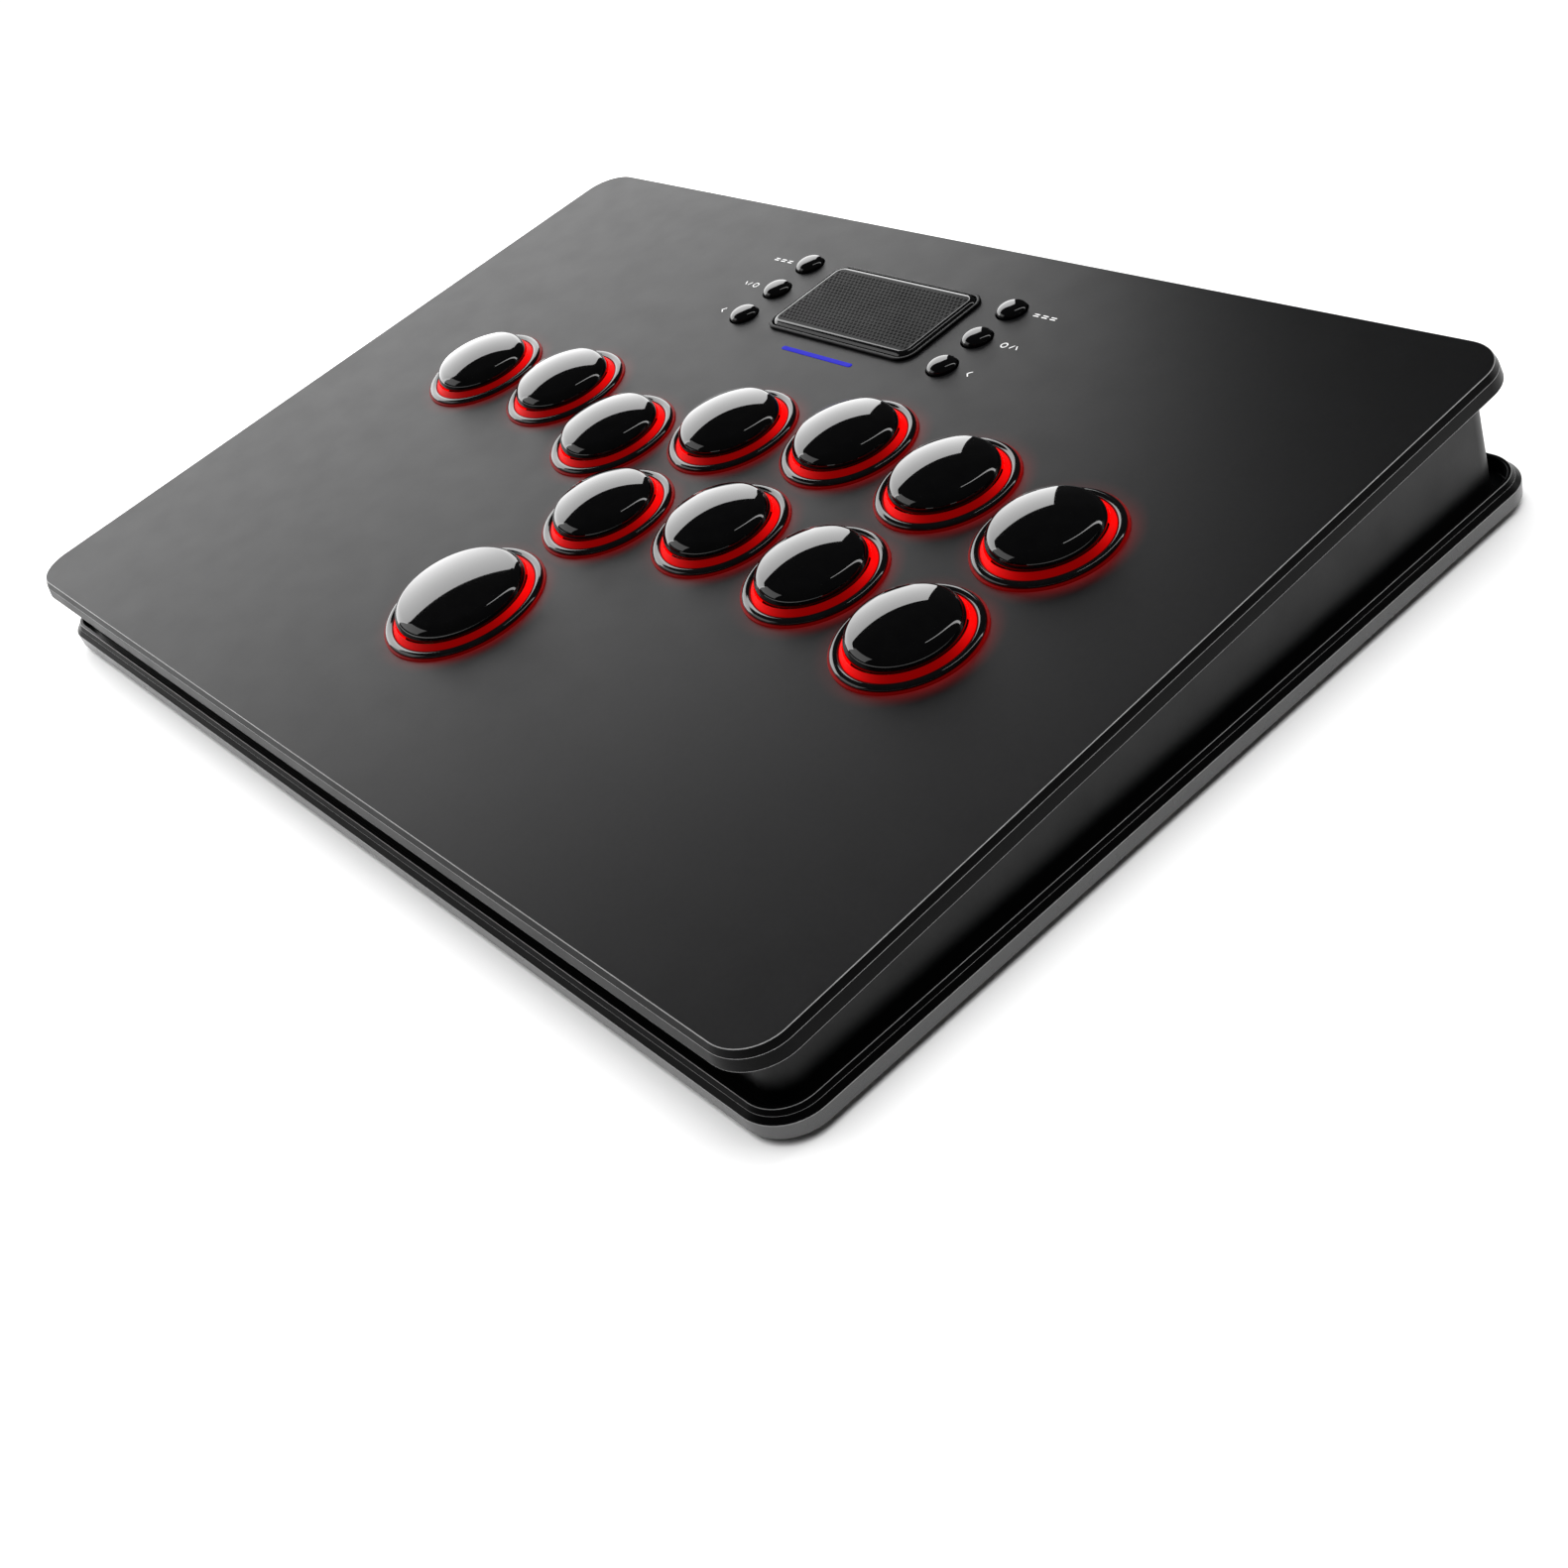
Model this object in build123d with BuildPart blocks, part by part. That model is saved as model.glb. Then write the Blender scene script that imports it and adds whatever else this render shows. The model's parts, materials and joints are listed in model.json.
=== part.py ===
from build123d import *
from math import cos, radians, sin, sqrt
import os

# Leverless arcade controller: a wedge-shaped slab with twelve large buttons, six option buttons,
# a clickable touchpad and a status light. All lengths are in millimetres.
# World frame: origin on the table under the middle of the slab, +X right, +Y back, +Z up.
# The panel rises towards the back. Heights called "height" are above the panel's flat face,
# along the panel's normal, and (x, y) on the panel are measured from the middle of that face.

# ---- driving dimensions: panel ----
PANEL_WIDTH = 305.0
PANEL_DEPTH = 206.4
PANEL_CORNER = 9.4
PANEL_SLOPE = 3.165
PANEL_CENTRE_HEIGHT = 28.75
PANEL_CENTRE_Y = -1.4
PLATE_THICKNESS = 2.2
BEVEL_OUT = 0.7
BEVEL_DROP = 1.6
RIM_OUT = 1.25
RIM_DROP = 4.4
RIM_WIDTH = 8.0

# ---- driving dimensions: housing and base ----
WALL_INSET = 3.9
WALL_CORNER = 6.0
WALL_THICKNESS = 2.6
WALL_DRAFT = 0.7
LEDGE_WIDTH = 12.0
LEDGE_THICKNESS = 2.0
FOOT_HEIGHT = 2.0
BASE_WIDTH = 308.0
BASE_DEPTH = 210.2
BASE_CORNER = 10.1
BASE_CENTRE_Y = 0.4
BASE_FLOOR = 1.8
BASE_SIDE = 3.3
BASE_BEVEL = 1.1
BASE_LIP_OUT = 0.7
BASE_LIP_HEIGHT = 1.0
BASE_LIP_WIDTH = 0.8

# ---- driving dimensions: large buttons ----
CAP_RADIUS = 12.2
JUMP_CAP_RADIUS = 15.55
CAP_TOP = 7.0
CAP_EQUATOR = 2.4
CAP_SHOULDER = 3.0
CAP_SKIRT = 1.8
CAP_WALL = 1.3
BUTTON_TRAVEL = 2.4
COLLAR_GAP = 0.3
COLLAR_WIDTH = 1.1
COLLAR_TOP = 2.3
COLLAR_DROP = 1.5
BEZEL_WIDTH = 2.0
BEZEL_HEIGHT = 0.9
GASKET_HEIGHT = 0.4
GASKET_PROUD = 0.5

# Middles of the buttons on the panel: three for movement, four upper and four lower for actions.
ACTION_BUTTONS = {
    "left": (-94.9, 13.8),
    "down": (-60.8, 16.8),
    "right": (-27.8, 7.5),
    "upper_1": (3.9, 20.6),
    "upper_2": (37.2, 27.8),
    "upper_3": (71.3, 25.3),
    "upper_4": (105.1, 20.1),
    "lower_1": (-1.2, -14.3),
    "lower_2": (32.4, -7.2),
    "lower_3": (66.5, -9.3),
    "lower_4": (100.2, -14.8),
}
JUMP_BUTTON = (-8.0, -52.0)

# ---- driving dimensions: key switches and main board ----
BOARD_TOP = -9.0
BOARD_THICKNESS = 1.6
BOARD_WIDTH = 256.0
BOARD_DEPTH = 156.0
BOARD_CENTRE = (4.0, 7.5)
BOARD_TONGUE_WIDTH = 18.0
BOARD_TONGUE_END = 95.5
STANDOFF_RADIUS = 2.9
BOARD_SCREW_RADIUS = 1.2
SWITCH_SIZE = 13.8
SWITCH_SHOULDER = 11.6
SWITCH_TOP = -1.3
SWITCH_STEP = -4.0
SWITCH_LID = 0.8
SWITCH_FLOOR = 0.5
CAVITY_RADIUS = 3.8
STEM_HOLE_RADIUS = 2.5
STEM_CROSS = 4.1
STEM_ARM = 1.3
STEM_FLANGE_RADIUS = 3.5
STEM_FLANGE = 1.0
STEM_TOP = 4.5
SPRING_RADIUS = 2.2
SPRING_WIRE = 0.2
SPRING_TURNS = 5
PIN_RADIUS = 0.6
PEG_RADIUS = 1.6

# ---- driving dimensions: option buttons, touchpad and status light ----
OPTION_RADIUS = 3.6
OPTION_TOP = 1.9
OPTION_TRAVEL = 0.5
CLEARANCE = 0.3
OPTION_X = 36.3
OPTION_ROWS = (82.3, 70.5, 58.8)
TACT_SIZE = 6.0
TACT_HEIGHT = 3.5
TOUCHPAD_CENTRE_Y = 70.7
TOUCHPAD_WIDTH = 50.2
TOUCHPAD_DEPTH = 26.0
TOUCHPAD_CORNER = 3.2
TOUCHPAD_TOP = 1.3
TOUCHPAD_TRAVEL = 0.4
TOUCHPAD_GAP = 0.3
FRAME_WIDTH = 0.8
FRAME_HEIGHT = 0.7
LIGHT_LENGTH = 25.4
LIGHT_WIDTH = 1.3
LIGHT_Y = 51.5

# ---- worked-out dimensions ----
SLOPE_SIN = sin(radians(PANEL_SLOPE))
SLOPE_COS = cos(radians(PANEL_SLOPE))
PANEL = Plane(
    origin=(0, PANEL_CENTRE_Y, PANEL_CENTRE_HEIGHT),
    x_dir=(1, 0, 0),
    z_dir=(0, -SLOPE_SIN, SLOPE_COS),
)
FLOOR_Z = FOOT_HEIGHT + BASE_FLOOR
BOARD_BOTTOM = BOARD_TOP - BOARD_THICKNESS
ALL_BUTTONS = {**ACTION_BUTTONS, "jump": JUMP_BUTTON}
OPTION_BUTTONS = {
    f"{side}_{row}": (sign * OPTION_X, y)
    for side, sign in (("left", -1), ("right", 1))
    for row, y in enumerate(OPTION_ROWS, start=1)
}

os.makedirs("parts", exist_ok=True)


def on_panel(x=0.0, y=0.0, height=0.0):
    """Plane parallel to the panel, through the point (x, y) at a height over its face."""
    return Plane(PANEL.from_local_coords((x, y, height)), x_dir=PANEL.x_dir, z_dir=PANEL.z_dir)


def upright(x=0.0, y=0.0):
    """Plane that holds the panel's normal, for profiles turned about a button's axis."""
    middle = PANEL.from_local_coords((x, y, 0))
    return Plane(middle, x_dir=PANEL.x_dir, z_dir=-PANEL.y_dir)


def finish(piece, name):
    """Label a finished piece and write it."""
    piece.part.label = name
    export_step(piece.part, f"parts/{name}.step")


def cap_radius(name):
    return JUMP_CAP_RADIUS if name == "jump" else CAP_RADIUS


def collar_inner(name):
    return cap_radius(name) + COLLAR_GAP


def collar_outer(name):
    return collar_inner(name) + COLLAR_WIDTH


def bezel_outer(name):
    return collar_outer(name) + BEZEL_WIDTH


# ---------------------------------------------------------------- top plate
def board_screw_points():
    """Places where the main board is screwed up to the plate, clear of every switch."""
    return [
        (-118, 79), (-12, 38), (124, 79), (-118, -2), (124, -2), (-118, -64), (52, -52), (124, -64),
    ]


with BuildPart() as top_plate:
    with BuildSketch(on_panel()):
        RectangleRounded(PANEL_WIDTH, PANEL_DEPTH, PANEL_CORNER)
    with BuildSketch(on_panel(height=-BEVEL_DROP)):
        RectangleRounded(
            PANEL_WIDTH + 2 * BEVEL_OUT, PANEL_DEPTH + 2 * BEVEL_OUT, PANEL_CORNER + BEVEL_OUT
        )
    loft(ruled=True)
    with BuildSketch(on_panel(height=-BEVEL_DROP)):
        RectangleRounded(
            PANEL_WIDTH + 2 * BEVEL_OUT, PANEL_DEPTH + 2 * BEVEL_OUT, PANEL_CORNER + BEVEL_OUT
        )
    with BuildSketch(on_panel(height=-RIM_DROP)):
        RectangleRounded(
            PANEL_WIDTH + 2 * RIM_OUT, PANEL_DEPTH + 2 * RIM_OUT, PANEL_CORNER + RIM_OUT
        )
    loft(ruled=True)
    # The plate is thin inside its rim.
    with BuildSketch(on_panel(height=-RIM_DROP)):
        RectangleRounded(PANEL_WIDTH - 2 * RIM_WIDTH, PANEL_DEPTH - 2 * RIM_WIDTH, WALL_CORNER)
    extrude(amount=RIM_DROP - PLATE_THICKNESS, mode=Mode.SUBTRACT)
    # Round standoffs under the plate carry the main board.
    with BuildSketch(on_panel(height=-PLATE_THICKNESS)):
        with Locations(board_screw_points()):
            Circle(STANDOFF_RADIUS)
    extrude(amount=BOARD_TOP + PLATE_THICKNESS)
    with BuildSketch(on_panel(height=BOARD_TOP)):
        with Locations(board_screw_points()):
            Circle(BOARD_SCREW_RADIUS + 0.05)
    extrude(amount=5, mode=Mode.SUBTRACT)
    # Button holes: each takes the collar of its button.
    with BuildSketch(on_panel()):
        for name, place in ALL_BUTTONS.items():
            with Locations(place):
                Circle(collar_outer(name))
        for place in OPTION_BUTTONS.values():
            with Locations(place):
                Circle(OPTION_RADIUS + 0.3)
        with Locations((0, TOUCHPAD_CENTRE_Y)):
            RectangleRounded(
                TOUCHPAD_WIDTH + 2 * TOUCHPAD_GAP,
                TOUCHPAD_DEPTH + 2 * TOUCHPAD_GAP,
                TOUCHPAD_CORNER + TOUCHPAD_GAP,
            )
        with Locations((0, LIGHT_Y)):
            SlotOverall(LIGHT_LENGTH, LIGHT_WIDTH)
    extrude(amount=-PLATE_THICKNESS, mode=Mode.SUBTRACT)
finish(top_plate, "top_plate")

# ---------------------------------------------------------------- housing
BOSS_RADIUS = 4.2
BASE_SCREW_RADIUS = 1.5
BOSS_X = PANEL_WIDTH / 2 - WALL_INSET - WALL_THICKNESS - BOSS_RADIUS + 1.0
BOSS_Y = 90.0
BOSSES = [(x, y) for x in (-BOSS_X, -BOSS_X / 3, BOSS_X / 3, BOSS_X) for y in (-BOSS_Y, BOSS_Y)]
USB_WIDTH = 8.94
USB_HEIGHT = 3.26
USB_LENGTH = 9.6
USB_X = 20.0
USB_DROP = BOARD_BOTTOM - USB_HEIGHT / 2

with BuildPart() as housing:
    with BuildSketch(on_panel(height=-RIM_DROP)):
        RectangleRounded(PANEL_WIDTH - 2 * WALL_INSET, PANEL_DEPTH - 2 * WALL_INSET, WALL_CORNER)
    extrude(amount=-40, taper=-WALL_DRAFT)
    inner_width = PANEL_WIDTH - 2 * (WALL_INSET + WALL_THICKNESS)
    inner_depth = PANEL_DEPTH - 2 * (WALL_INSET + WALL_THICKNESS)
    with BuildSketch(on_panel(height=-RIM_DROP - LEDGE_THICKNESS)):
        RectangleRounded(inner_width, inner_depth, WALL_CORNER - WALL_THICKNESS)
    extrude(amount=-40, mode=Mode.SUBTRACT)
    ledge_inset = WALL_INSET + LEDGE_WIDTH
    with BuildSketch(on_panel(height=-RIM_DROP)):
        RectangleRounded(PANEL_WIDTH - 2 * ledge_inset, PANEL_DEPTH - 2 * ledge_inset, WALL_CORNER)
    extrude(amount=-LEDGE_THICKNESS, mode=Mode.SUBTRACT)
    # Screw bosses stand inside the wall, from the base up to the ledge.
    with BuildSketch(Plane.XY.offset(FLOOR_Z)):
        with Locations(BOSSES):
            Circle(BOSS_RADIUS)
    extrude(amount=40)
    with BuildSketch(Plane.XY.offset(FLOOR_Z)):
        with Locations(BOSSES):
            Circle(BASE_SCREW_RADIUS + 0.05)
    extrude(amount=10, mode=Mode.SUBTRACT)
    # Window in the back wall for the cable socket.
    with BuildSketch(upright().offset(-PANEL_DEPTH / 2 + 10)):
        with Locations((USB_X, USB_DROP)):
            RectangleRounded(USB_WIDTH + 0.3, USB_HEIGHT + 0.3, 1.6)
    extrude(amount=-20, mode=Mode.SUBTRACT)
    split(bisect_by=on_panel(height=-RIM_DROP), keep=Keep.BOTTOM)
    split(bisect_by=Plane.XY.offset(FLOOR_Z), keep=Keep.TOP)
finish(housing, "housing")

# ---------------------------------------------------------------- base tray
FOOT_RADIUS = 10.0
FOOT_RECESS = 0.5
FEET = [(x, y + BASE_CENTRE_Y) for x in (-128, 128) for y in (-80, 80)]
SCREW_HEAD_RADIUS = 2.9
SCREW_HEAD = 1.0


def base_outline(inset):
    RectangleRounded(BASE_WIDTH - 2 * inset, BASE_DEPTH - 2 * inset, BASE_CORNER - inset)


def base_plane(height):
    """Plane at a height over the base's underside."""
    return Plane((0, BASE_CENTRE_Y, FOOT_HEIGHT + height))


with BuildPart() as base_tray:
    with BuildSketch(base_plane(0)):
        base_outline(0)
    extrude(amount=BASE_SIDE)
    with BuildSketch(base_plane(BASE_SIDE)):
        base_outline(0)
    with BuildSketch(base_plane(BASE_SIDE + BASE_BEVEL)):
        base_outline(BASE_BEVEL)
    loft(ruled=True)
    with BuildSketch(base_plane(BASE_SIDE + BASE_BEVEL)):
        base_outline(BASE_BEVEL)
    with BuildSketch(base_plane(BASE_SIDE + BASE_BEVEL + BASE_LIP_HEIGHT)):
        base_outline(BASE_BEVEL + BASE_LIP_OUT)
    loft(ruled=True)
    # The tray is hollow: its rim stands around a narrow trough outside the housing wall.
    with BuildSketch(base_plane(BASE_FLOOR)):
        base_outline(BASE_BEVEL + BASE_LIP_OUT + BASE_LIP_WIDTH)
    extrude(amount=BASE_SIDE + BASE_BEVEL + BASE_LIP_HEIGHT, mode=Mode.SUBTRACT)
    with BuildSketch(Plane.XY.offset(FOOT_HEIGHT)):
        with Locations(BOSSES):
            Circle(SCREW_HEAD_RADIUS + 0.2)
    extrude(amount=SCREW_HEAD, mode=Mode.SUBTRACT)
    with BuildSketch(Plane.XY.offset(FOOT_HEIGHT)):
        with Locations(BOSSES):
            Circle(BASE_SCREW_RADIUS + 0.1)
    extrude(amount=BASE_FLOOR, mode=Mode.SUBTRACT)
    with BuildSketch(Plane.XY.offset(FOOT_HEIGHT)):
        with Locations(FEET):
            Circle(FOOT_RADIUS)
    extrude(amount=FOOT_RECESS, mode=Mode.SUBTRACT)
finish(base_tray, "base_tray")

with BuildPart() as rubber_feet:
    with BuildSketch():
        with Locations(FEET):
            Circle(FOOT_RADIUS)
    extrude(amount=FOOT_HEIGHT + FOOT_RECESS)
    lower_rims = rubber_feet.edges().filter_by(GeomType.CIRCLE).group_by(Axis.Z)[0]
    chamfer(lower_rims, 0.6)
finish(rubber_feet, "rubber_feet")

with BuildPart() as base_screws:
    with BuildSketch(Plane.XY.offset(FOOT_HEIGHT)):
        with Locations(BOSSES):
            Circle(SCREW_HEAD_RADIUS)
    extrude(amount=SCREW_HEAD)
    with BuildSketch(Plane.XY.offset(FOOT_HEIGHT + SCREW_HEAD)):
        with Locations(BOSSES):
            Circle(BASE_SCREW_RADIUS)
    extrude(amount=8)
    with BuildSketch(Plane.XY.offset(FOOT_HEIGHT)):
        with Locations(BOSSES):
            RegularPolygon(1.25, 6)
    extrude(amount=0.7, mode=Mode.SUBTRACT)
finish(base_screws, "base_screws")

# ---------------------------------------------------------------- bezels, collars and gaskets
with BuildPart() as bezel_rings:
    for name, place in ALL_BUTTONS.items():
        inner = collar_outer(name)
        with BuildSketch(upright(*place)):
            with BuildLine():
                low = GASKET_HEIGHT
                crest = GASKET_HEIGHT + BEZEL_HEIGHT
                middle = inner + BEZEL_WIDTH / 2
                foot = Polyline((inner, crest - 0.5), (inner, low), (inner + BEZEL_WIDTH, low))
                ThreePointArc(foot @ 1, (middle + 0.25, crest), foot @ 0)
            make_face()
        revolve(axis=Axis(on_panel(*place).origin, PANEL.z_dir))
finish(bezel_rings, "bezel_rings")

with BuildPart() as light_collars:
    for name, place in ALL_BUTTONS.items():
        inner = collar_inner(name)
        outer = collar_outer(name)
        under = -PLATE_THICKNESS
        with BuildSketch(upright(*place)):
            with BuildLine():
                Polyline(
                    (inner, COLLAR_TOP),
                    (outer, COLLAR_TOP - COLLAR_DROP),
                    (outer, under),
                    (outer + 1.6, under),
                    (outer + 1.6, under - 0.9),
                    (inner, under - 0.9),
                    close=True,
                )
            make_face()
        revolve(axis=Axis(on_panel(*place).origin, PANEL.z_dir))
finish(light_collars, "light_collars")

with BuildPart() as glow_gaskets:
    with BuildSketch(on_panel()):
        for name, place in ALL_BUTTONS.items():
            with Locations(place):
                Circle(bezel_outer(name) + GASKET_PROUD)
                Circle(collar_outer(name), mode=Mode.SUBTRACT)
    extrude(amount=GASKET_HEIGHT)
finish(glow_gaskets, "glow_gaskets")


# ---------------------------------------------------------------- key switches
def stem_cross(extra=0.0):
    """Cross-shaped section shared by the stem and, a little larger, by the cap's socket."""
    Rectangle(STEM_CROSS + extra, STEM_ARM + extra)
    Rectangle(STEM_ARM + extra, STEM_CROSS + extra)


def make_cap(name, place):
    """Domed cap: a wide crown arc rolls into a tight shoulder, with a socket for the stem."""
    radius = cap_radius(name)
    # The crown arc is centred on the axis and touches the shoulder arc inside.
    shoulder_x = radius - CAP_SHOULDER
    rise = CAP_TOP - CAP_EQUATOR
    crown = (shoulder_x**2 + rise**2 - CAP_SHOULDER**2) / (2 * (rise - CAP_SHOULDER))
    crown_centre = CAP_TOP - crown
    reach = crown / (crown - CAP_SHOULDER)
    touch = (shoulder_x * reach, crown_centre + (CAP_EQUATOR - crown_centre) * reach)
    half_x = touch[0] / 2
    crown_middle = (half_x, crown_centre + sqrt(crown**2 - half_x**2))
    diagonal = (touch[0] + radius) / 2 - shoulder_x, (touch[1] + CAP_EQUATOR) / 2 - CAP_EQUATOR
    stretch = CAP_SHOULDER / sqrt(diagonal[0] ** 2 + diagonal[1] ** 2)
    shoulder_middle = (shoulder_x + diagonal[0] * stretch, CAP_EQUATOR + diagonal[1] * stretch)
    with BuildPart() as cap:
        with BuildSketch(upright(*place)):
            with BuildLine():
                ThreePointArc((0, CAP_TOP), crown_middle, touch)
                ThreePointArc(touch, shoulder_middle, (radius, CAP_EQUATOR))
                Polyline(
                    (radius, CAP_EQUATOR),
                    (radius - 0.25, CAP_SKIRT),
                    (radius - CAP_WALL, CAP_SKIRT),
                    (radius - CAP_WALL, CAP_SKIRT + 1.5),
                    (radius - 3.3, CAP_TOP - 2.4),
                    (3.8, CAP_TOP - 2.4),
                    (3.8, CAP_SKIRT),
                    (0, CAP_SKIRT),
                    (0, CAP_TOP),
                )
            make_face()
        revolve(axis=Axis(on_panel(*place).origin, PANEL.z_dir))
        with BuildSketch(on_panel(*place, CAP_SKIRT)):
            stem_cross(0.1)
        extrude(amount=STEM_TOP - CAP_SKIRT, mode=Mode.SUBTRACT)
    return cap


def make_stem(place):
    """Switch stem: a cross that carries the cap, a round flange and a pin inside the spring."""
    flange_top = SWITCH_TOP - SWITCH_LID - 0.1
    with BuildPart() as stem:
        with BuildSketch(on_panel(*place, flange_top)):
            stem_cross()
        extrude(amount=STEM_TOP - flange_top)
        with BuildSketch(on_panel(*place, flange_top)):
            Circle(STEM_FLANGE_RADIUS)
        extrude(amount=-STEM_FLANGE)
        with BuildSketch(on_panel(*place, flange_top - STEM_FLANGE)):
            Circle(1.0)
        extrude(amount=-1.8)
    return stem


def make_spring(place):
    """Return spring between the switch's floor and the stem's flange."""
    start = BOARD_TOP + SWITCH_FLOOR + SPRING_WIRE
    end = SWITCH_TOP - SWITCH_LID - 0.1 - STEM_FLANGE - SPRING_WIRE
    height = end - start
    with BuildPart() as spring:
        with BuildLine(on_panel(*place, start)) as wire:
            Helix(pitch=height / SPRING_TURNS, height=height, radius=SPRING_RADIUS)
        with BuildSketch(Plane(wire.line @ 0, z_dir=wire.line % 0)):
            Circle(SPRING_WIRE)
        sweep(is_frenet=True)
    return spring


for name, place in ALL_BUTTONS.items():
    cap = make_cap(name, place)
    finish(cap, f"button_cap_{name}")
    stem = make_stem(place)
    finish(stem, f"switch_stem_{name}")
    spring = make_spring(place)
    finish(spring, f"switch_spring_{name}")

with BuildPart() as switch_housings:
    for place in ALL_BUTTONS.values():
        with BuildSketch(on_panel(*place, BOARD_TOP)):
            RectangleRounded(SWITCH_SIZE, SWITCH_SIZE, 0.8)
        extrude(amount=SWITCH_STEP - BOARD_TOP)
        with BuildSketch(on_panel(*place, SWITCH_STEP)):
            RectangleRounded(SWITCH_SIZE - 0.6, SWITCH_SIZE - 0.6, 0.8)
        with BuildSketch(on_panel(*place, SWITCH_TOP)):
            RectangleRounded(SWITCH_SHOULDER, SWITCH_SHOULDER, 0.8)
        loft(ruled=True)
        with BuildSketch(on_panel(*place, BOARD_TOP)):
            Circle(PEG_RADIUS)
            with Locations((-3.8, -4.5), (3.8, -4.5)):
                Circle(PIN_RADIUS)
        extrude(amount=-BOARD_THICKNESS - 0.9)
        with BuildSketch(on_panel(*place, BOARD_TOP + SWITCH_FLOOR)):
            Circle(CAVITY_RADIUS)
        extrude(amount=SWITCH_TOP - SWITCH_LID - BOARD_TOP - SWITCH_FLOOR, mode=Mode.SUBTRACT)
        with BuildSketch(on_panel(*place, SWITCH_TOP)):
            Circle(STEM_HOLE_RADIUS)
        extrude(amount=-SWITCH_LID, mode=Mode.SUBTRACT)
finish(switch_housings, "switch_housings")


# ---------------------------------------------------------------- option buttons
def make_option_cap(place):
    """Small domed button on a plunger, held under the plate by a flange."""
    reach = TACT_HEIGHT + OPTION_TRAVEL + CLEARANCE
    crown_x = OPTION_RADIUS - 0.4
    crown_y = OPTION_TOP - 1.0
    with BuildPart() as cap:
        with BuildSketch(upright(*place)):
            with BuildLine():
                ThreePointArc((0, OPTION_TOP), (crown_x / 2, OPTION_TOP - 0.25), (crown_x, crown_y))
                ThreePointArc(
                    (crown_x, crown_y), (OPTION_RADIUS - 0.1, crown_y - 0.35), (OPTION_RADIUS, 0.4)
                )
                Polyline(
                    (0, OPTION_TOP),
                    (0, BOARD_TOP + reach),
                    (1.6, BOARD_TOP + reach),
                    (1.6, -PLATE_THICKNESS - 1.2),
                    (OPTION_RADIUS + 1.0, -PLATE_THICKNESS - 1.2),
                    (OPTION_RADIUS + 1.0, -PLATE_THICKNESS - CLEARANCE),
                    (OPTION_RADIUS, -PLATE_THICKNESS - CLEARANCE),
                    (OPTION_RADIUS, 0.4),
                )
            make_face()
        revolve(axis=Axis(on_panel(*place).origin, PANEL.z_dir))
    return cap


for name, place in OPTION_BUTTONS.items():
    option_cap = make_option_cap(place)
    finish(option_cap, f"option_button_{name}")

# ---------------------------------------------------------------- touchpad
PAD_UNDER = -PLATE_THICKNESS - CLEARANCE
PAD_BOARD = 1.0
PAD_PLACE = (0, TOUCHPAD_CENTRE_Y)

with BuildPart() as touchpad_plate:
    with BuildSketch(on_panel(*PAD_PLACE, PAD_UNDER)):
        RectangleRounded(TOUCHPAD_WIDTH, TOUCHPAD_DEPTH, TOUCHPAD_CORNER)
    extrude(amount=TOUCHPAD_TOP - PAD_UNDER)
    top_rim = touchpad_plate.faces().sort_by(Axis(PANEL.origin, PANEL.z_dir))[-1].edges()
    fillet(top_rim, 1.5)
finish(touchpad_plate, "touchpad_plate")

with BuildPart() as touchpad_board:
    with BuildSketch(on_panel(*PAD_PLACE, PAD_UNDER)):
        RectangleRounded(TOUCHPAD_WIDTH + 3, TOUCHPAD_DEPTH + 3, 2)
    extrude(amount=-PAD_BOARD)
finish(touchpad_board, "touchpad_board")

with BuildPart() as touchpad_frame:
    with BuildSketch(on_panel(*PAD_PLACE)):
        inner_gap = 2 * TOUCHPAD_GAP
        outer_gap = inner_gap + 2 * FRAME_WIDTH
        RectangleRounded(
            TOUCHPAD_WIDTH + outer_gap, TOUCHPAD_DEPTH + outer_gap, TOUCHPAD_CORNER + outer_gap / 2
        )
        RectangleRounded(
            TOUCHPAD_WIDTH + inner_gap,
            TOUCHPAD_DEPTH + inner_gap,
            TOUCHPAD_CORNER + inner_gap / 2,
            mode=Mode.SUBTRACT,
        )
    extrude(amount=FRAME_HEIGHT)
    frame_rim = touchpad_frame.faces().sort_by(Axis(PANEL.origin, PANEL.z_dir))[-1]
    fillet(frame_rim.outer_wire().edges(), 0.45)
finish(touchpad_frame, "touchpad_frame")

# ---------------------------------------------------------------- status light
with BuildPart() as status_light:
    with BuildSketch(on_panel(0, LIGHT_Y, -PLATE_THICKNESS)):
        SlotOverall(LIGHT_LENGTH, LIGHT_WIDTH)
    extrude(amount=PLATE_THICKNESS + 0.1)
    with BuildSketch(on_panel(0, LIGHT_Y, -PLATE_THICKNESS)):
        SlotOverall(LIGHT_LENGTH + 2, LIGHT_WIDTH + 2)
    extrude(amount=-1.5)
finish(status_light, "status_light")

# ---------------------------------------------------------------- main board and what is on it
with BuildPart() as main_board:
    with BuildSketch(on_panel(*BOARD_CENTRE, BOARD_TOP)):
        RectangleRounded(BOARD_WIDTH, BOARD_DEPTH, 4)
    extrude(amount=-BOARD_THICKNESS)
    # A tongue at the back carries the cable socket.
    with BuildSketch(on_panel(USB_X, 0, BOARD_TOP)):
        with Locations((0, BOARD_TONGUE_END - 10)):
            Rectangle(BOARD_TONGUE_WIDTH, 20)
    extrude(amount=-BOARD_THICKNESS)
    with BuildSketch(on_panel(height=BOARD_TOP)):
        with Locations(board_screw_points()):
            Circle(BOARD_SCREW_RADIUS + 0.1)
        for place in ALL_BUTTONS.values():
            with Locations(place):
                Circle(PEG_RADIUS + 0.05)
                with Locations((-3.8, -4.5), (3.8, -4.5)):
                    Circle(PIN_RADIUS + 0.1)
    extrude(amount=-BOARD_THICKNESS, mode=Mode.SUBTRACT)
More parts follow.
